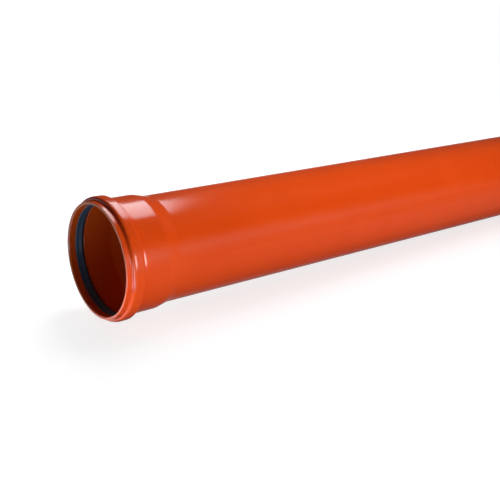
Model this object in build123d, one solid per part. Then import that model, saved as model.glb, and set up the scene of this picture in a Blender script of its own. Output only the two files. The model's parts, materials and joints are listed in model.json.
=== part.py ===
from build123d import *
import os
from math import atan2, degrees, hypot, radians, tan

# A sewer pipe in solid-wall PVC-U: a straight barrel with a sawn and chamfered spigot at one end and,
# at the other, a push-fit socket formed from the same wall, with a rubber lip seal in its bead.
# Sizes are in millimetres. Along the pipe, zero is the face of the socket's rim.

# Barrel and spigot
pipe_diameter = 315.0
pipe_wall = 9.2
laying_length = 2000.0  # what one pipe adds to a line, so the socket's depth isn't counted
chamfer_length = 18.0
chamfer_angle = 15.0

# Socket
socket_depth = 138.0  # from the rim to where the shoulder starts
socket_gap = 0.9  # between a spigot and the socket's wall, on the radius
socket_wall = 8.6  # a little thinner than the barrel, because the end was widened
shoulder_length = 42.0
shoulder_round = 45.0
lead_in_length = 4.0
lead_in_rise = 1.6
rim_flat = 1.2

# Groove inside the bead, measured at the socket's wall
groove_start = 22.0
groove_width = 28.5
groove_depth = 12.2
front_flank_run = 2.5  # how far a flank leans along the pipe over the groove's depth
back_flank_run = 7.5
groove_edge_flat = 1.0
groove_floor_flat = 2.0

# Bead outside the groove
bead_wall = 8.0
bead_foot_round = 4.0
bead_crest_round = 5.0
crest_front_length = 8.0  # the front of the crest slopes up to the rest of it
crest_front_rise = 1.6
valley_length = 8.0  # behind the bead the wall is drawn in a little
valley_depth = 1.0

# Lip seal, drawn with its lip pressed back as it lies round a spigot
seat_gap = 0.4
lip_gap = 0.6  # between the pressed lip and a spigot, on the radius
seal_body_width = 13.0
seal_back_run = 2.5
lip_root_thickness = 4.5
lip_tip_thickness = 2.4
lip_tip_setback = 3.0  # from the lip's tip to the groove's back edge
seal_flat = 1.5
lip_flat = 0.6

# Radii and places that follow from them
pipe_radius = pipe_diameter / 2
bore_radius = pipe_radius - pipe_wall
socket_bore_radius = pipe_radius + socket_gap
socket_radius = socket_bore_radius + socket_wall
groove_radius = socket_bore_radius + groove_depth
bead_radius = groove_radius + bead_wall
groove_end = groove_start + groove_width
shoulder_end = socket_depth + shoulder_length
pipe_length = laying_length + socket_depth
chamfer_start = pipe_length - chamfer_length
spigot_tip_radius = pipe_radius - chamfer_length * tan(radians(chamfer_angle))


def front_flank(radius, offset=0.0):
    """Place along the pipe of the groove's front flank, moved square to itself towards the back."""
    share = (radius - socket_bore_radius) / groove_depth
    return groove_start + front_flank_run * share + offset * hypot(front_flank_run, groove_depth) / groove_depth


def back_flank(radius, offset=0.0):
    """Place along the pipe of the groove's back flank, moved square to itself towards the back."""
    share = (radius - socket_bore_radius) / groove_depth
    return groove_end - back_flank_run * share + offset * hypot(back_flank_run, groove_depth) / groove_depth


def turned(corners):
    """A ring of the section whose corners are given as place, radius, form and size.

    A "round" corner gets an arc of that radius, and a "flat" one is cut off at that distance along both sides.
    """
    places, roundings = [], []
    for number, (place, radius, form, size) in enumerate(corners):
        corner = Vector(place, radius)
        if form == "round":
            places.append(corner)
            roundings.append(size)
            continue
        for other in (corners[number - 1], corners[(number + 1) % len(corners)]):
            places.append(corner + (Vector(*other[:2]) - corner).normalized() * size)
            roundings.append(0)
    section = make_face(FilletPolyline(*places, radius=roundings, close=True))
    return revolve(section, Axis.X)


def make_socket_pipe():
    """The whole pipe, turned in one piece: outside from rim to spigot, then back along the bore."""
    crest_front_radius = bead_radius - crest_front_rise
    crest_front = front_flank(crest_front_radius, -bead_wall)
    valley_radius = socket_radius - valley_depth
    valley_start = back_flank(valley_radius, bead_wall)
    outside = [
        (0, socket_radius, "flat", rim_flat),
        (front_flank(socket_radius, -bead_wall), socket_radius, "round", bead_foot_round),
        (crest_front, crest_front_radius, "round", bead_crest_round),
        (crest_front + crest_front_length, bead_radius, "round", 0),
        (back_flank(bead_radius, bead_wall), bead_radius, "round", bead_crest_round),
        (valley_start, valley_radius, "round", bead_foot_round),
        (valley_start + valley_length, socket_radius, "round", 0),
        (socket_depth, socket_radius, "round", shoulder_round),
        (shoulder_end, pipe_radius, "round", shoulder_round),
        (chamfer_start, pipe_radius, "round", 0),
        (pipe_length, spigot_tip_radius, "round", 0),
    ]
    inside = [
        (pipe_length, bore_radius, "round", 0),
        (shoulder_end, bore_radius, "round", shoulder_round),
        (socket_depth, socket_bore_radius, "round", shoulder_round),
        (groove_end, socket_bore_radius, "flat", groove_edge_flat),
        (back_flank(groove_radius), groove_radius, "flat", groove_floor_flat),
        (front_flank(groove_radius), groove_radius, "flat", groove_floor_flat),
        (groove_start, socket_bore_radius, "flat", groove_edge_flat),
        (lead_in_length, socket_bore_radius, "round", 0),
        (0, socket_bore_radius + lead_in_rise, "flat", rim_flat),
    ]
    return turned(outside + inside)


def make_seal_ring():
    """The lip seal: a body against the groove's front flank and floor, and a lip that points inwards."""
    seat_radius = groove_radius - seat_gap
    lip_radius = pipe_radius + lip_gap
    lip_root_radius = lip_radius + lip_root_thickness
    body_back = front_flank(seat_radius, seat_gap) + seal_body_width
    lip_tip = groove_end - lip_tip_setback
    return turned([
        (front_flank(lip_radius, seat_gap), lip_radius, "flat", seal_flat),
        (front_flank(seat_radius, seat_gap), seat_radius, "flat", groove_floor_flat),
        (body_back, seat_radius, "flat", groove_floor_flat),
        (body_back + seal_back_run, lip_root_radius, "flat", lip_flat),
        (lip_tip, lip_radius + lip_tip_thickness, "flat", lip_flat),
        (lip_tip, lip_radius, "flat", lip_flat),
    ])


def floor_place(pipe):
    """The place of the pipe on a floor at zero height: it lies on its bead and on the end of its spigot."""
    crest_corner_turn = atan2(groove_depth, back_flank_run)
    crest_end = back_flank(bead_radius, bead_wall) - bead_crest_round * tan(crest_corner_turn / 2)
    lean = degrees(atan2(bead_radius - pipe_radius, chamfer_start - crest_end))
    leaning = Rot(Y=lean)
    box = (leaning * pipe).bounding_box()
    return Pos(-box.center().X, -box.center().Y, -box.min.Z) * leaning


socket_pipe = make_socket_pipe()
pieces = {"socket_pipe": socket_pipe, "seal_ring": make_seal_ring()}
place = floor_place(socket_pipe)

os.makedirs("parts", exist_ok=True)
for name, piece in pieces.items():
    export_step(place * piece, f"parts/{name}.step")
    print(name, "volume in cubic millimetres:", round(piece.volume))

# Places on the pipe's axis that a fitting is set by
for name, along in {"rim": 0, "groove": groove_start, "shoulder": socket_depth, "spigot": pipe_length}.items():
    print(name, "at", (place * Pos(along, 0, 0)).position)
print("axis", (place * Pos(pipe_length, 0, 0)).position - place.position)
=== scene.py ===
# %% [markdown]
# A push-fit sewer pipe
# This lesson dresses a length of orange PVC-U sewer pipe. The real pipe is extruded as one long tube.
# One end is then heated and pushed over a steel mandrel, which forms the socket: a short collar, a bead
# with a groove inside it, a straight socket and a sloping shoulder. A black rubber seal lies in the groove.
# Everything about it is round, so everything here is a section carried round one axis.

# %% Load the frame
import json
import math

import bpy
import numpy as np
from mathutils import Euler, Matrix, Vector


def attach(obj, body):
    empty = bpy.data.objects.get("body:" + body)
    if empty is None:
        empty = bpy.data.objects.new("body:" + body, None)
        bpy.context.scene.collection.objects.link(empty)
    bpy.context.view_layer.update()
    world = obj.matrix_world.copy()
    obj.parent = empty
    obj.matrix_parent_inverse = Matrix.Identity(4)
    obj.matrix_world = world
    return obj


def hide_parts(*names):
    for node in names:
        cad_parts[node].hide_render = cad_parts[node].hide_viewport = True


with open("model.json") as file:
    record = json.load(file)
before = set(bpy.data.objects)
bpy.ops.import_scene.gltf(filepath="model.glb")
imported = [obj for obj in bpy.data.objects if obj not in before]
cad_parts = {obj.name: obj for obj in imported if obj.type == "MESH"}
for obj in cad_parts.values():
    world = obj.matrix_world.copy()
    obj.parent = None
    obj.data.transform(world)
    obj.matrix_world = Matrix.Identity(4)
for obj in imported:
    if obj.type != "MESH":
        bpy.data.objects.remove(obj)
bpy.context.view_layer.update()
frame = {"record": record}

# %% [markdown]
# Sizes that other pipes fit to
# Three round sizes of a sewer pipe are standard, because other pipes fit to them: the socket's bore, the
# outside of the barrel and the waterway. They could be typed in again, but the frame's mounts already hold
# them. Read from there, the looks can't drift away from the solids.

# %% Round sizes and axis
MM = 0.001
mounts = {mount["name"]: mount for mount in frame["record"]["mounts"]}
socket_bore_radius = mounts["socket"]["dims"]["r_mm"] * MM
pipe_radius = mounts["spigot"]["dims"]["r_mm"] * MM
bore_radius = mounts["waterway"]["dims"]["r_mm"] * MM
along = np.array(mounts["spigot"]["axis"])
along /= np.linalg.norm(along)
radii = np.array([socket_bore_radius, pipe_radius, bore_radius])
print("radii in metres:", radii.round(4), "axis", along.round(5))

# %% [markdown]
# Where the pipe lies
# The pipe leans a little, because it lies on its bead and on its spigot's end. Its socket starts behind the
# slanting lead-in of the rim, and its waterway ends at the sawn end, so these two mounts give both ends.
# From here on a place along the pipe is measured from the face of the rim, so a place and a radius fix a
# ring. The rest of the section is written in millimetres, as it is drawn in the solids, and MM turns that
# into metres.

# %% Ends of the pipe
lead_in_length = 4.0 * MM
half_socket = mounts["socket"]["dims"]["length_mm"] * MM / 2
rim_centre = np.array(mounts["socket"]["pos_m"]) - along * (half_socket + lead_in_length)
half_waterway = mounts["waterway"]["dims"]["length_mm"] * MM / 2
spigot_centre = np.array(mounts["waterway"]["pos_m"]) + along * half_waterway
pipe_length = float(np.linalg.norm(spigot_centre - rim_centre))
print("pipe length", round(pipe_length, 4), "rim at", rim_centre.round(4))

# %% [markdown]
# Rounded outlines
# A turned piece could be made with the Screw modifier, or by spinning a curve. Here it is worked out
# instead: the section's corners are rounded by arcs, and every arc point also gets its exact normal. Exact
# normals matter on glossy plastic, because averaged ones bend a highlight wherever a long flat face meets
# a small rounding.

# %% Rounded outlines
ARC_STEPS = 9


def rounded_outline(corners):
    """Places and normals of a closed outline of (place, radius, rounding) corners, listed clockwise.

    An arc of radius R touches both sides of a corner at R / tan(half angle) from it, and its centre lies
    on the bisector at R / sin(half angle). The arc's points turn evenly between the two touching points.
    """
    table = np.array(corners)
    points, rounding = table[:, :2], table[:, 2:3]
    before = np.roll(points, 1, axis=0) - points
    after = np.roll(points, -1, axis=0) - points
    before /= np.linalg.norm(before, axis=1, keepdims=True)
    after /= np.linalg.norm(after, axis=1, keepdims=True)
    half = np.arccos(np.clip((before * after).sum(1, keepdims=True), -1, 1)) / 2
    bisector = before + after
    bisector /= np.linalg.norm(bisector, axis=1, keepdims=True)
    centre = points + bisector * rounding / np.sin(half)
    first = (points + before * rounding / np.tan(half) - centre) / rounding
    last = (points + after * rounding / np.tan(half) - centre) / rounding
    turn = (math.pi - 2 * half)[:, :, None]
    share = np.linspace(0, 1, ARC_STEPS)[None, :, None]
    arm = np.sin((1 - share) * turn) * first[:, None] + np.sin(share * turn) * last[:, None]
    arm /= np.sin(turn)
    outward = np.sign(before[:, 0] * after[:, 1] - before[:, 1] * after[:, 0])[:, None, None]
    places = centre[:, None] + arm * rounding[:, :, None]
    return places.reshape(-1, 2), (arm * outward).reshape(-1, 2)


print("each rounded corner has", ARC_STEPS, "points")

# %% [markdown]
# Closer steps
# A straight stretch needs only its two ends, but faces two metres long and a few millimetres wide are
# slivers that shade and unwrap badly. A Subdivision modifier would also cut up the small roundings, so
# here only the long steps of the outline are cut, into equal parts.

# %% Closer steps
LONGEST_STEP = 30.0 * MM


def with_closer_steps(places, normals):
    """The same closed outline with extra points, so that no straight step is longer than the longest.

    A step of length L is cut into L / longest equal parts, rounded up, and the normals are blended along it.
    """
    closed = np.vstack([places, places[:1]])
    closed_normals = np.vstack([normals, normals[:1]])
    steps = np.linalg.norm(np.diff(closed, axis=0), axis=1)
    walked = np.concatenate([[0], np.cumsum(steps)])
    parts = np.maximum(np.ceil(steps / LONGEST_STEP), 1).astype(int)
    start = np.repeat(np.arange(len(parts)), parts)
    order = np.arange(parts.sum()) - np.repeat(np.cumsum(parts) - parts, parts)
    stations = walked[start] + steps[start] * order / parts[start]
    place = np.stack([np.interp(stations, walked, closed[:, i]) for i in range(2)], axis=1)
    normal = np.stack([np.interp(stations, walked, closed_normals[:, i]) for i in range(2)], axis=1)
    return place, normal / np.linalg.norm(normal, axis=1, keepdims=True)


print("longest step along the outline:", LONGEST_STEP, "m")

# %% [markdown]
# Round the axis
# A lathe turns a section about its axis. In numbers, each point of the outline has a place along the axis
# and a distance from it, so a spoke that turns about the axis carries the whole outline round in one array.
# Two neighbouring spokes and two neighbouring points of the outline enclose one face.

# %% Rings as arrays
RING_STEPS = 256


def ring_arrays(corners):
    """Points, normals and faces of a closed ring.

    The point (place, radius) at angle t lies at rim centre + place * axis + radius * spoke(t), where
    spoke(t) is cos(t) * upward + sin(t) * across. A normal is carried round in the same way.
    """
    place, normal = with_closer_steps(*rounded_outline(corners))
    angle = np.linspace(0, 2 * math.pi, RING_STEPS, endpoint=False)[:, None, None]
    across = np.array([0.0, 1.0, 0.0])
    upward = np.cross(along, across)
    spoke = np.cos(angle) * upward + np.sin(angle) * across
    points = rim_centre + place[None, :, :1] * along + place[None, :, 1:] * spoke
    normals = normal[None, :, :1] * along + normal[None, :, 1:] * spoke
    count = len(place)
    ring = np.arange(RING_STEPS)[:, None]
    step = np.arange(count)[None, :]
    next_ring = (ring + 1) % RING_STEPS
    next_step = (step + 1) % count
    faces = np.stack([
        ring * count + step,
        ring * count + next_step,
        next_ring * count + next_step,
        next_ring * count + step,
    ], axis=-1)
    return points.reshape(-1, 3), normals.reshape(-1, 3), faces.reshape(-1, 4)


print("a ring turns in", RING_STEPS, "steps")

# %% [markdown]
# From arrays to a mesh
# Faces could be added one by one with bmesh, but a mesh also takes whole arrays, which is far quicker. The
# exact normals are set last, because validating the mesh may still change it.

# %% Ring meshes


def ring_mesh(name, corners):
    """A smooth ring of the section with those corners, as an object at the origin."""
    points, normals, faces = ring_arrays(corners)
    mesh = bpy.data.meshes.new(name)
    mesh.vertices.add(len(points))
    mesh.vertices.foreach_set("co", points.ravel())
    mesh.loops.add(faces.size)
    mesh.loops.foreach_set("vertex_index", faces.ravel())
    mesh.polygons.add(len(faces))
    mesh.polygons.foreach_set("loop_start", np.arange(len(faces)) * faces.shape[1])
    mesh.update(calc_edges=True)
    mesh.validate()
    mesh.polygons.foreach_set("use_smooth", np.ones(len(faces), bool))
    mesh.normals_split_custom_set_from_vertices(normals)
    piece = bpy.data.objects.new(name, mesh)
    bpy.context.scene.collection.objects.link(piece)
    print(name, "has", len(points) // RING_STEPS, "section points and", 2 * len(faces), "triangles")
    return piece


# %% [markdown]
# The groove
# Inside the bead runs the groove that holds the seal. It is formed in the hot wall, and its two flanks lean
# towards each other, the back one more than the front one. The bead outside and the seal inside both
# follow these flanks, so a flank is written once, as a line that can be moved square to itself.

# %% Flanks of the groove
groove_start = 22.0 * MM
groove_width = 28.5 * MM
groove_depth = 12.2 * MM
front_flank_run = 2.5 * MM
back_flank_run = 7.5 * MM
groove_end = groove_start + groove_width
groove_radius = socket_bore_radius + groove_depth


def flank(foot, run, radius, offset):
    """Place of a flank at a radius: its foot at the socket's wall, its lean up to there, and an offset.

    The offset is square to the flank, so along the pipe it counts hypot(run, depth) / depth times.
    """
    share = (radius - socket_bore_radius) / groove_depth
    stretch = math.hypot(run, groove_depth) / groove_depth
    return foot + run * share + offset * stretch


def front_flank(radius, offset=0.0):
    """Place of the groove's front flank at a radius, moved square to itself towards the back."""
    return flank(groove_start, front_flank_run, radius, offset)


def back_flank(radius, offset=0.0):
    """Place of the groove's back flank at a radius, moved square to itself towards the back."""
    return flank(groove_end, -back_flank_run, radius, offset)


print("groove floor from", round(front_flank(groove_radius), 4), "to", round(back_flank(groove_radius), 4))

# %% [markdown]
# Collar and bead
# The wall keeps nearly the same thickness everywhere, because the socket is the barrel's own wall, widened.
# So the bead outside is the groove inside, moved out by the wall. The front of its crest slopes up softly,
# and behind it the wall is drawn in a little. These soft forms could be sculpted, but large roundings on a
# few corners give them as cleanly as the mandrel does.

# %% Collar and bead
rim_round = 1.5 * MM
socket_wall = 8.6 * MM
bead_wall = 8.0 * MM
bead_foot_round = 4.0 * MM
bead_crest_round = 5.0 * MM
crest_front_length = 8.0 * MM
crest_front_rise = 1.6 * MM
crest_front_round = 25.0 * MM
valley_length = 8.0 * MM
valley_depth = 1.0 * MM
valley_round = 40.0 * MM

socket_radius = socket_bore_radius + socket_wall
bead_radius = groove_radius + bead_wall
crest_front_radius = bead_radius - crest_front_rise
crest_front = front_flank(crest_front_radius, -bead_wall)
valley_radius = socket_radius - valley_depth
valley_start = back_flank(valley_radius, bead_wall)
collar_and_bead = [
    (0.0, socket_radius, rim_round),
    (front_flank(socket_radius, -bead_wall), socket_radius, bead_foot_round),
    (crest_front, crest_front_radius, bead_crest_round),
    (crest_front + crest_front_length, bead_radius, crest_front_round),
    (back_flank(bead_radius, bead_wall), bead_radius, bead_crest_round),
    (valley_start, valley_radius, bead_foot_round),
    (valley_start + valley_length, socket_radius, valley_round),
]
print("bead radius", round(bead_radius, 4), "valley behind it from", round(valley_start, 4))

# %% [markdown]
# Shoulder, barrel and spigot
# Behind the straight socket the wall comes down a sloping shoulder to the barrel. The other end, the
# spigot, is sawn square and chamfered, so that it slides into the next socket without folding its seal.
# A Bevel modifier would round every edge alike, and a sawn edge is far crisper than a formed one, so each
# corner has a rounding of its own.

# %% Shoulder, barrel and spigot
socket_depth = 138.0 * MM
shoulder_length = 42.0 * MM
shoulder_round = 45.0 * MM
chamfer_length = 18.0 * MM
chamfer_slope = math.tan(math.radians(15.0))
saw_edge_round = 0.4 * MM

shoulder_end = socket_depth + shoulder_length
spigot_tip_radius = pipe_radius - chamfer_length * chamfer_slope
barrel_and_spigot = [
    (socket_depth, socket_radius, shoulder_round),
    (shoulder_end, pipe_radius, shoulder_round),
    (pipe_length - chamfer_length, pipe_radius, saw_edge_round),
    (pipe_length, spigot_tip_radius, saw_edge_round),
]
print("shoulder ends at", round(shoulder_end, 4), "spigot tip radius", round(spigot_tip_radius, 4))

# %% [markdown]
# Bore
# The inside shows deep into the mouth, so it is drawn as fully as the outside: the waterway, the shoulder
# seen from within, the groove and the slanting lead-in at the rim. The outline comes back along it from the
# spigot to the rim, so that outside and inside close into one section.

# %% Bore
groove_edge_round = 1.5 * MM
groove_floor_round = 3.0 * MM
lead_in_rise = 1.6 * MM
lead_in_radius = socket_bore_radius + lead_in_rise
bore = [
    (pipe_length, bore_radius, saw_edge_round),
    (shoulder_end, bore_radius, shoulder_round),
    (socket_depth, socket_bore_radius, shoulder_round),
    (groove_end, socket_bore_radius, groove_edge_round),
    (back_flank(groove_radius), groove_radius, groove_floor_round),
    (front_flank(groove_radius), groove_radius, groove_floor_round),
    (groove_start, socket_bore_radius, groove_edge_round),
    (lead_in_length, socket_bore_radius, saw_edge_round),
    (0.0, lead_in_radius, rim_round),
]
print("rim is", round((socket_radius - lead_in_radius) / MM, 2), "mm thick at its face")

# %% [markdown]
# The pipe
# The real pipe is one piece of plastic from rim to spigot, so its three stretches are joined into one
# section and turned as one mesh. It stands for the pipe's solid and moves with it.

# %% Pipe
pipe = ring_mesh("sewer_pipe", collar_and_bead + barrel_and_spigot + bore)
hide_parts("socket_pipe")
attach(pipe, "root")

# %% [markdown]
# The seal
# The seal is a moulded rubber ring. Its thick body sits against the groove's front flank and floor. Its lip
# runs back from there, away from the mouth, and bulges inwards, so that a spigot pushed in bends it flat.
# With no spigot in it the crest of the lip stands a few millimetres proud of the socket's wall. Behind the
# crest the lip bends back to the wall, and that side lies in the dark. A bevelled curve could make such a
# ring, but the pipe's own way, a section carried round the axis, keeps it exactly in its groove.

# %% Body of the seal
seat_gap = 0.4 * MM
seal_body_width = 13.0 * MM
seal_back_run = 1.5 * MM
nose_inset = 0.8 * MM
nose_round = 1.6 * MM
root_round = 2.0 * MM
lip_root_height = 2.5 * MM

seat_radius = groove_radius - seat_gap
nose_radius = socket_bore_radius - nose_inset
body_back = front_flank(seat_radius, seat_gap) + seal_body_width
seal_body = [
    (front_flank(nose_radius, seat_gap), nose_radius, nose_round),
    (front_flank(seat_radius, seat_gap), seat_radius, groove_floor_round),
    (body_back, seat_radius, groove_floor_round),
    (body_back + seal_back_run, socket_bore_radius + lip_root_height, root_round),
]
print("seal body ends", round((body_back - groove_start) / MM, 2), "mm behind the groove's front edge")

# %% [markdown]
# The lip
# The lip is thin, with a soft bend where it leaves the body, a rounded crest and a narrow tip. It could be a
# straight strip, but the free lip of a real seal is curved, and its sheen runs along that curve. So three
# roundings of different size shape it, measured from the groove's front edge and the socket's wall.

# %% Lip and whole seal
lip_proud = 5.0 * MM
lip_crest_place = 18.5 * MM
lip_crest_round = 4.0 * MM
lip_bend_place = 9.0 * MM
lip_bend_rise = 2.8 * MM
lip_bend_round = 10.0 * MM
lip_end_place = 25.0 * MM
lip_end_inset = 0.8 * MM
lip_thickness = 2.6 * MM
lip_tip_round = 1.1 * MM

lip_radius = socket_bore_radius - lip_proud
lip_end = groove_start + lip_end_place
lip_end_radius = socket_bore_radius - lip_end_inset
lip = [
    (lip_end, lip_end_radius + lip_thickness, lip_tip_round),
    (lip_end, lip_end_radius, lip_tip_round),
    (groove_start + lip_crest_place, lip_radius, lip_crest_round),
    (groove_start + lip_bend_place, lip_radius + lip_bend_rise, lip_bend_round),
]
seal = ring_mesh("lip_seal", seal_body + lip)
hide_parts("seal_ring")
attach(seal, "root")

# %% [markdown]
# Colours
# Colours are written as sRGB hex values, as they are picked on a screen, and Blender wants them linear.
# They could be converted once by hand, but a hex value in the script can be compared with any picture.

# %% Colour helper


def linear(hex_colour, alpha=1.0):
    """Linear colour of an sRGB hex value, by the sRGB curve."""
    srgb = np.array([int(hex_colour[i:i + 2], 16) for i in (1, 3, 5)]) / 255
    value = np.where(srgb <= 0.04045, srgb / 12.92, ((srgb + 0.055) / 1.055) ** 2.4)
    return (*value.tolist(), alpha)


print("mid grey is", round(linear("#808080")[0], 3), "in linear light")

# %% [markdown]
# Nodes
# A material is a tree of nodes. It could be drawn by hand in the node editor, but one function that adds a
# node with its settings and links lets each material below read as a list of what it is made of.

# %% Node helpers


def add(tree, kind, settings=None, **inputs):
    """Add a node. Settings are its own options, and inputs are values or the sockets that feed them.

    An input is given by its name, with _ for a space, or by its number after a leading _.
    """
    node = tree.nodes.new(kind)
    for name, value in (settings or {}).items():
        setattr(node, name, value)
    for name, value in inputs.items():
        key = int(name[1:]) if name[0] == "_" else name.replace("_", " ")
        if isinstance(value, bpy.types.NodeSocket):
            tree.links.new(value, node.inputs[key])
        else:
            node.inputs[key].default_value = value
    return node


def new_material(name):
    """An empty node material, with its output node."""
    material = bpy.data.materials.new(name)
    material.use_nodes = True
    material.node_tree.nodes.clear()
    return material, material.node_tree, material.node_tree.nodes.new("ShaderNodeOutputMaterial")


# %% [markdown]
# Extruded PVC-U
# Sewer pipe is PVC-U, a hard plastic coloured right through. It leaves the extruder smooth, with a satin
# gloss, faint lines along its length from the die, and a very shallow waviness that makes the edges of a
# reflection swim a little. A picture could paint these, but noise stretched along the pipe has no seam.
# The pipe leans, so its coordinates are first turned straight along it.

# %% Lines and clouds in the plastic
pvc, tree, output = new_material("extruded PVC-U")
coords = add(tree, "ShaderNodeTexCoord")
lean = math.atan2(-along[2], along[0])
straight = add(tree, "ShaderNodeMapping", Vector=coords.outputs["Object"], Rotation=(0.0, lean, 0.0))
die_line_width = 5.0 * MM  # real die lines are finer than a millimetre, too fine to show here
die_line_length = 900.0 * MM
stretched = add(tree, "ShaderNodeMapping", Vector=straight.outputs["Vector"],
                Scale=(die_line_width / die_line_length, 1.0, 1.0))
die_lines = add(tree, "ShaderNodeTexNoise", Vector=stretched.outputs["Vector"],
                Scale=1 / die_line_width, Detail=3.0)
cloud_size = 180.0 * MM
clouds = add(tree, "ShaderNodeTexNoise", Vector=straight.outputs["Vector"],
             Scale=1 / cloud_size, Detail=2.0)
print("coordinates turned by", round(math.degrees(lean), 3), "degrees")

# %% [markdown]
# Colour of the plastic
# The pigment is mixed in the melt and never quite evenly, so the orange drifts a little in wide clouds and
# along the die lines. One flat colour would look like paint. Both patterns are blended and spread between
# two close oranges, and the die lines also vary the gloss.

# %% Colour and gloss of the plastic
die_line_share = 0.4
low_noise = 0.3
high_noise = 0.7
pvc_smoothest = 0.16
pvc_roughest = 0.22
shade = add(tree, "ShaderNodeMix", {"data_type": "FLOAT"}, Factor=die_line_share,
            A=clouds.outputs["Fac"], B=die_lines.outputs["Fac"])
colour = add(tree, "ShaderNodeValToRGB", Fac=shade.outputs["Result"])
oranges = ((low_noise, "#D8440A"), (high_noise, "#E04A0E"))
for stop, (position, orange) in zip(colour.color_ramp.elements, oranges):
    stop.position = position
    stop.color = linear(orange)
gloss = add(tree, "ShaderNodeMapRange", Value=die_lines.outputs["Fac"],
            To_Min=pvc_smoothest, To_Max=pvc_roughest)
print("oranges:", [[round(c, 3) for c in stop.color[:3]] for stop in colour.color_ramp.elements])

# %% [markdown]
# Skin of the plastic
# The melt cools against a metal sleeve and keeps a skin that is not quite even: a shallow orange peel, with
# the die lines over it. Relief as shallow and fine as that would need millions of faces, so two bumps tilt
# the reflections instead. Solid PVC has an index of refraction of about 1.53.

# %% Pipe material
peel_size = 14.0 * MM
peel_depth = 0.4 * MM
line_depth = 0.3 * MM
pvc_ior = 1.53
pvc_specular = 0.42
peel = add(tree, "ShaderNodeTexNoise", Vector=straight.outputs["Vector"], Scale=1 / peel_size, Detail=1.0)
peel_bump = add(tree, "ShaderNodeBump", Strength=0.08, Distance=peel_depth, Height=peel.outputs["Fac"])
line_bump = add(tree, "ShaderNodeBump", Strength=0.05, Distance=line_depth,
                Height=die_lines.outputs["Fac"], Normal=peel_bump.outputs["Normal"])
plastic = add(tree, "ShaderNodeBsdfPrincipled", Base_Color=colour.outputs["Color"],
              Roughness=gloss.outputs["Result"], Normal=line_bump.outputs["Normal"],
              IOR=pvc_ior, Specular_IOR_Level=pvc_specular)
tree.links.new(plastic.outputs["BSDF"], output.inputs["Surface"])
pipe.data.materials.append(pvc)
print("pipe material:", pvc.name)

# %% [markdown]
# Moulded rubber
# The seal is moulded from black rubber. It comes out with a dull sheen and a fine grain. Its colour here is
# a blue grey, lighter than black: the blue is painted sheen, the bluish gleam the seal shows in cool light.
# Separate patterns could drive its colour, its sheen and its skin, but on the real one all three come from
# the grain, so one noise drives them together.

# %% Seal material
rubber, tree, output = new_material("moulded black rubber")
coords = add(tree, "ShaderNodeTexCoord")
grain_size = 2.5 * MM  # the real grain is much finer, too fine to show here
grain_depth = 0.2 * MM
rubber_ior = 1.52
rubber_smoothest = 0.3
rubber_roughest = 0.4
grain = add(tree, "ShaderNodeTexNoise", Vector=coords.outputs["Object"], Scale=1 / grain_size, Detail=2.0)
rubber_tone_and_painted_sheen = add(tree, "ShaderNodeValToRGB", Fac=grain.outputs["Fac"])
# the blue in both stops is painted sheen over the rubber's own black
for stop, sheen_tinted_black in zip(rubber_tone_and_painted_sheen.color_ramp.elements, ("#1B2D35", "#243840")):
    stop.color = linear(sheen_tinted_black)
sheen = add(tree, "ShaderNodeMapRange", Value=grain.outputs["Fac"],
            To_Min=rubber_smoothest, To_Max=rubber_roughest)
skin = add(tree, "ShaderNodeBump", Strength=0.1, Distance=grain_depth, Height=grain.outputs["Fac"])
soft_black = add(tree, "ShaderNodeBsdfPrincipled", Base_Color=rubber_tone_and_painted_sheen.outputs["Color"],
                 Roughness=sheen.outputs["Result"], Normal=skin.outputs["Normal"], IOR=rubber_ior)
tree.links.new(soft_black.outputs["BSDF"], output.inputs["Surface"])
seal.data.materials.append(rubber)
print("seal material:", rubber.name)

# %% [markdown]
# Floor
# The pipe lies on a plain white floor. A curved backdrop could stand behind it, but a very wide floor under
# a white studio shows no edge from any side.

# %% Floor
floor_half = 60.0
floor_corners = floor_half * np.array([(-1, -1, 0), (1, -1, 0), (1, 1, 0), (-1, 1, 0)])
floor_mesh = bpy.data.meshes.new("floor")
floor_mesh.from_pydata(floor_corners.tolist(), [], [(0, 1, 2, 3)])
floor = bpy.data.objects.new("floor", floor_mesh)
bpy.context.scene.collection.objects.link(floor)
print("floor", 2 * floor_half, "m wide")

# %% [markdown]
# What sees the floor's glow
# A white background could be bought with more light, but that would bleach the pipe. Instead the floor
# glows, and only for the camera, for reflections and for clear materials, so no extra light falls on the
# pipe. In reflections the glow is a bit over half on the far side and weak on the near side, where a white
# floor would veil the pipe's deep colour.

# %% Rays that see the glow
near_mirror_share = 0.05
far_mirror_share = 0.6
mirror_fade_start = -0.10
mirror_fade_end = 0.05
paper, tree, output = new_material("white paper floor")
rays = add(tree, "ShaderNodeLightPath")
mirrored = add(tree, "ShaderNodeMath", {"operation": "MAXIMUM"},
               _0=rays.outputs["Is Glossy Ray"], _1=rays.outputs["Is Transmission Ray"])
coords = add(tree, "ShaderNodeTexCoord")
side = add(tree, "ShaderNodeSeparateXYZ", Vector=coords.outputs["Object"])
far_side = add(tree, "ShaderNodeMapRange", Value=side.outputs["Y"],
               From_Min=mirror_fade_start, From_Max=mirror_fade_end,
               To_Min=near_mirror_share, To_Max=far_mirror_share)
dimmed = add(tree, "ShaderNodeMath", {"operation": "MULTIPLY"},
             _0=mirrored.outputs[0], _1=far_side.outputs["Result"])
seen = add(tree, "ShaderNodeMath", {"operation": "MAXIMUM"},
           _0=rays.outputs["Is Camera Ray"], _1=dimmed.outputs[0])
print("glow in reflections:", near_mirror_share, "near and", far_mirror_share, "far")

# %% [markdown]
# White paper
# The floor itself is matt and takes the pipe's shadow. The glow lifts what is seen of it towards white. It
# is weaker round the pipe, where the lamps light the floor as well, so that the shadow still shows, and it
# reaches full white further out. A shadow could be painted on instead, but it would be wrong from behind.

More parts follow.
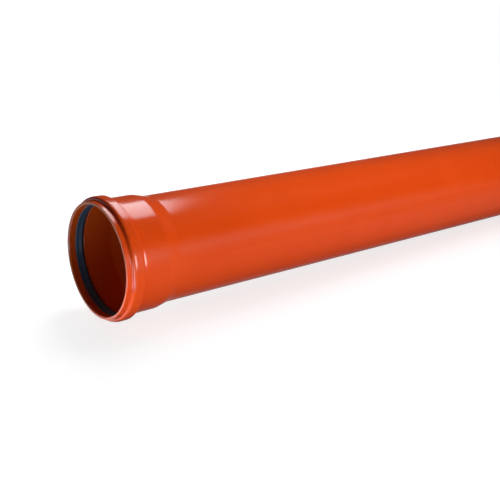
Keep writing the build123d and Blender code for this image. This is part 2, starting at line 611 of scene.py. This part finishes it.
# %% Floor material
glow_beside_pipe = 0.77
glow_far_off = 1.0
glow_fade_start = 0.4
glow_fade_end = 2.0
lengthwise_squeeze = 0.6
around = add(tree, "ShaderNodeMapping", Vector=coords.outputs["Object"],
             Scale=(lengthwise_squeeze, 1.0, 1.0))
distance = add(tree, "ShaderNodeVectorMath", {"operation": "LENGTH"}, _0=around.outputs["Vector"])
glow_share = add(tree, "ShaderNodeMapRange", Value=distance.outputs["Value"],
                 From_Min=glow_fade_start, From_Max=glow_fade_end,
                 To_Min=glow_beside_pipe, To_Max=glow_far_off)
glow_level = add(tree, "ShaderNodeMath", {"operation": "MULTIPLY"},
                 _0=seen.outputs[0], _1=glow_share.outputs["Result"])
matt = add(tree, "ShaderNodeBsdfDiffuse", Color=linear("#AAAAAA"))
glow = add(tree, "ShaderNodeEmission", Color=(1, 1, 1, 1), Strength=glow_level.outputs[0])
surface = add(tree, "ShaderNodeAddShader", _0=matt.outputs[0], _1=glow.outputs[0])
tree.links.new(surface.outputs[0], output.inputs["Surface"])
floor_mesh.materials.append(paper)
print("floor material:", paper.name)

# %% [markdown]
# Studio
# Round the floor is a studio that is dim above. The camera sees it white. Reflections see a bright band at
# the horizon that fades to a dim ceiling, and only a trace of light comes from it, because light from all
# sides would fill the dark mouth of the pipe. A sky texture would colour the plastic, so it is plain grey.

# %% World
studio_light = 0.02
horizon_level = 0.4
ceiling_level = 0.05
horizon_band = 0.08
world = bpy.data.worlds.new("studio")
bpy.context.scene.world = world
world.use_nodes = True
tree = world.node_tree
tree.nodes.clear()
rays = add(tree, "ShaderNodeLightPath")
view = add(tree, "ShaderNodeTexCoord")
height = add(tree, "ShaderNodeSeparateXYZ", Vector=view.outputs["Generated"])
ceiling = add(tree, "ShaderNodeMapRange", Value=height.outputs["Z"], From_Min=0.0, From_Max=horizon_band,
              To_Min=horizon_level, To_Max=ceiling_level)
mirrored = add(tree, "ShaderNodeMath", {"operation": "MAXIMUM"},
               _0=rays.outputs["Is Glossy Ray"], _1=rays.outputs["Is Transmission Ray"])
lit = add(tree, "ShaderNodeMix", {"data_type": "FLOAT"}, Factor=mirrored.outputs[0],
          A=studio_light, B=ceiling.outputs["Result"])
level = add(tree, "ShaderNodeMix", {"data_type": "FLOAT"}, Factor=rays.outputs["Is Camera Ray"],
            A=lit.outputs["Result"], B=1.0)
sky = add(tree, "ShaderNodeBackground", Color=(1, 1, 1, 1), Strength=level.outputs["Result"])
tree.links.new(sky.outputs["Background"], tree.nodes.new("ShaderNodeOutputWorld").inputs["Surface"])
print("world light", studio_light, "horizon", horizon_level, "ceiling", ceiling_level)

# %% [markdown]
# Softboxes
# A lamp could be a glowing plane, but an area lamp gives less noise and stays out of the picture. One
# function sets up every lamp below. Every place is measured from the rim's centre, in metres.

# %% Lamp helper
rim = Vector(rim_centre)


def panel(name, place, target, size, power, colour="#FFFFFF"):
    """A softbox: a flat area lamp of that width and height, turned from its place towards the target."""
    lamp = bpy.data.lights.new(name, "AREA")
    lamp.shape = "RECTANGLE"
    lamp.size, lamp.size_y = size
    lamp.energy = power
    lamp.color = linear(colour)[:3]
    holder = bpy.data.objects.new(name, lamp)
    holder.location = rim + Vector(place)
    holder.rotation_euler = (Vector(target) - Vector(place)).to_track_quat("-Z", "Y").to_euler()
    holder.visible_camera = False
    bpy.context.scene.collection.objects.link(holder)
    print(name, "of", power, "W at", [round(c, 2) for c in holder.location])
    return holder


# %% [markdown]
# Main lamps
# A long softbox hangs above and behind the socket and draws the wide pale band along its top. It is turned
# a little, so that its far edge runs slanting and the band fades out along the barrel. A tall strip stands
# far off on the near side and draws the short streaks on the bead and on the valley behind it. One large
# lamp could light as much, but on glossy plastic each highlight is a picture of its lamp.

# %% Main lamps
softbox_turn = math.radians(-13.0)
top_softbox = panel("top softbox", place=(0.86, 0.57, 1.52), target=(0.86, 0.57, 0.0),
                    size=(0.67, 1.40), power=20.0, colour="#EFF9FF")
top_softbox.rotation_euler.rotate_axis("Z", softbox_turn)
panel("near strip", place=(0.55, -2.20, 0.20), target=(0.10, 0.0, 0.0), size=(0.40, 0.75), power=18.0)

# %% [markdown]
# Floor cards
# Light that comes from behind the rim leaves its face, the inside and the seal nearly black. Cards help, as
# they do in a studio. Two lie on the floor and face up, so the rim and the upper inside are lit from below,
# while the collar still shades the front of the bead. Their light is cool, because every bounce inside an
# orange tube turns it redder, and it adds to the bluish sheen that is also painted into the rubber's colour.

# %% Floor cards
card_height = 5.0 * MM
card_level = card_height - rim_centre[2]


def floor_card(name, x, y, size, power, colour="#FFFFFF"):
    """A panel just above the floor that faces straight up."""
    return panel(name, (x, y, card_level), (x, y, card_level + 1.0), size, power, colour)


floor_card("front floor card", x=-0.42, y=-0.05, size=(0.35, 0.35), power=4.0, colour="#7CC8FF")
floor_card("near floor card", x=-0.10, y=-0.40, size=(0.20, 0.20), power=0.6, colour="#CFE8FF")

# %% [markdown]
# Glints
# Three more floor cards show only in reflections. Two at the far left draw the pale line of the rim, and
# one on the near side draws the sheen of the seal. A lighter rim colour could fake that line, but a
# reflection moves as it should when the pipe is seen from elsewhere.

# %% Glints
glints = [
    floor_card("low glint", x=-0.10, y=0.20, size=(0.24, 0.5), power=0.3),
    floor_card("wide glint", x=-0.40, y=0.40, size=(0.8, 1.2), power=1.9),
    floor_card("seal glint", x=-0.19, y=-0.33, size=(0.12, 0.12), power=0.25),
]
for glint in glints:
    glint.visible_diffuse = False

# %% [markdown]
# Mouth card
# The last card stands low before the mouth and throws a narrow beam at the lower right of the rim and the
# bead. A spot lamp could do the same, but its reflection would be a dot. The card is linked to the two
# pieces of the pipe, so that no edge of its light falls across the floor.

# %% Mouth card
beam_height = 70.0 * MM
beam_level = card_level + beam_height
beam_spread = math.radians(50.0)
mouth_card = panel("mouth card", place=(-0.40, -0.15, beam_level), target=(0.60, -0.15, beam_level),
                   size=(0.25, 0.13), power=0.17)
mouth_card.data.spread = beam_spread
lit_pieces = bpy.data.collections.new("pieces of the pipe")
lit_pieces.objects.link(pipe)
lit_pieces.objects.link(seal)
mouth_card.light_linking.receiver_collection = lit_pieces

# %% [markdown]
# Fills
# Broad panels on both sides, overhead and beyond the spigot bring the pipe's own colour up to its level
# along the whole length, from wherever it is seen, and a small lamp does the same above the socket. All are
# kept out of reflections, where they would draw bands on the plastic. The near panel is linked to the pipe
# alone, because a floor that it lit would veil the near side with its reflection.

# %% Fills
near_fill = panel("near fill", place=(2.2, -2.5, 0.35), target=(1.9, 0.0, 0.0),
                  size=(3.6, 0.9), power=51.0)
fills = [
    near_fill,
    panel("overhead fill", place=(1.8, -0.4, 1.3), target=(1.8, -0.4, 0.3), size=(1.6, 0.8), power=5.5),
    panel("socket fill", place=(0.40, 0.40, 0.72), target=(0.25, 0.0, 0.15), size=(0.30, 0.40), power=1.4),
    panel("far fill", place=(1.5, 2.5, 0.5), target=(1.2, 0.0, 0.0), size=(3.2, 0.9), power=45.0),
    panel("spigot fill", place=(4.3, 0.3, 0.7), target=(2.1, 0.0, 0.0), size=(1.4, 0.9), power=14.0),
]
for fill in fills:
    fill.visible_glossy = False
near_fill.light_linking.receiver_collection = lit_pieces

# %% [markdown]
# Camera
# The camera's height, turn and lens come from fitting the pipe's outlines in the photograph. It could be
# placed by eye, but the fit also gives the pixel and the distance at which the rim's centre is seen, and
# these two place it exactly. The picture is taken to be square.

# %% Camera
photo_width_px = 500.0
focal_px = 849.9
sensor_width_mm = 36.0
camera_pitch = math.radians(17.57)
camera_turn = math.radians(-39.02)
rim_pixel = (95.85, 261.30)
rim_depth = 2.354

lens = bpy.data.cameras.new("camera")
lens.sensor_width = sensor_width_mm
lens.lens = sensor_width_mm * focal_px / photo_width_px
lens.clip_end = 4 * floor_half
camera = bpy.data.objects.new("camera", lens)
turned = Euler((math.pi / 2 - camera_pitch, 0.0, camera_turn))
off_centre = (rim_pixel[0] - photo_width_px / 2, photo_width_px / 2 - rim_pixel[1])
to_rim = Vector((*off_centre, -focal_px)) * rim_depth / focal_px
camera.rotation_euler = turned
camera.location = rim - turned.to_matrix() @ to_rim
bpy.context.scene.collection.objects.link(camera)
bpy.context.scene.camera = camera
bpy.context.scene.view_settings.view_transform = "Standard"
print("camera at", [round(c, 3) for c in camera.location], "lens", round(lens.lens, 2), "mm")
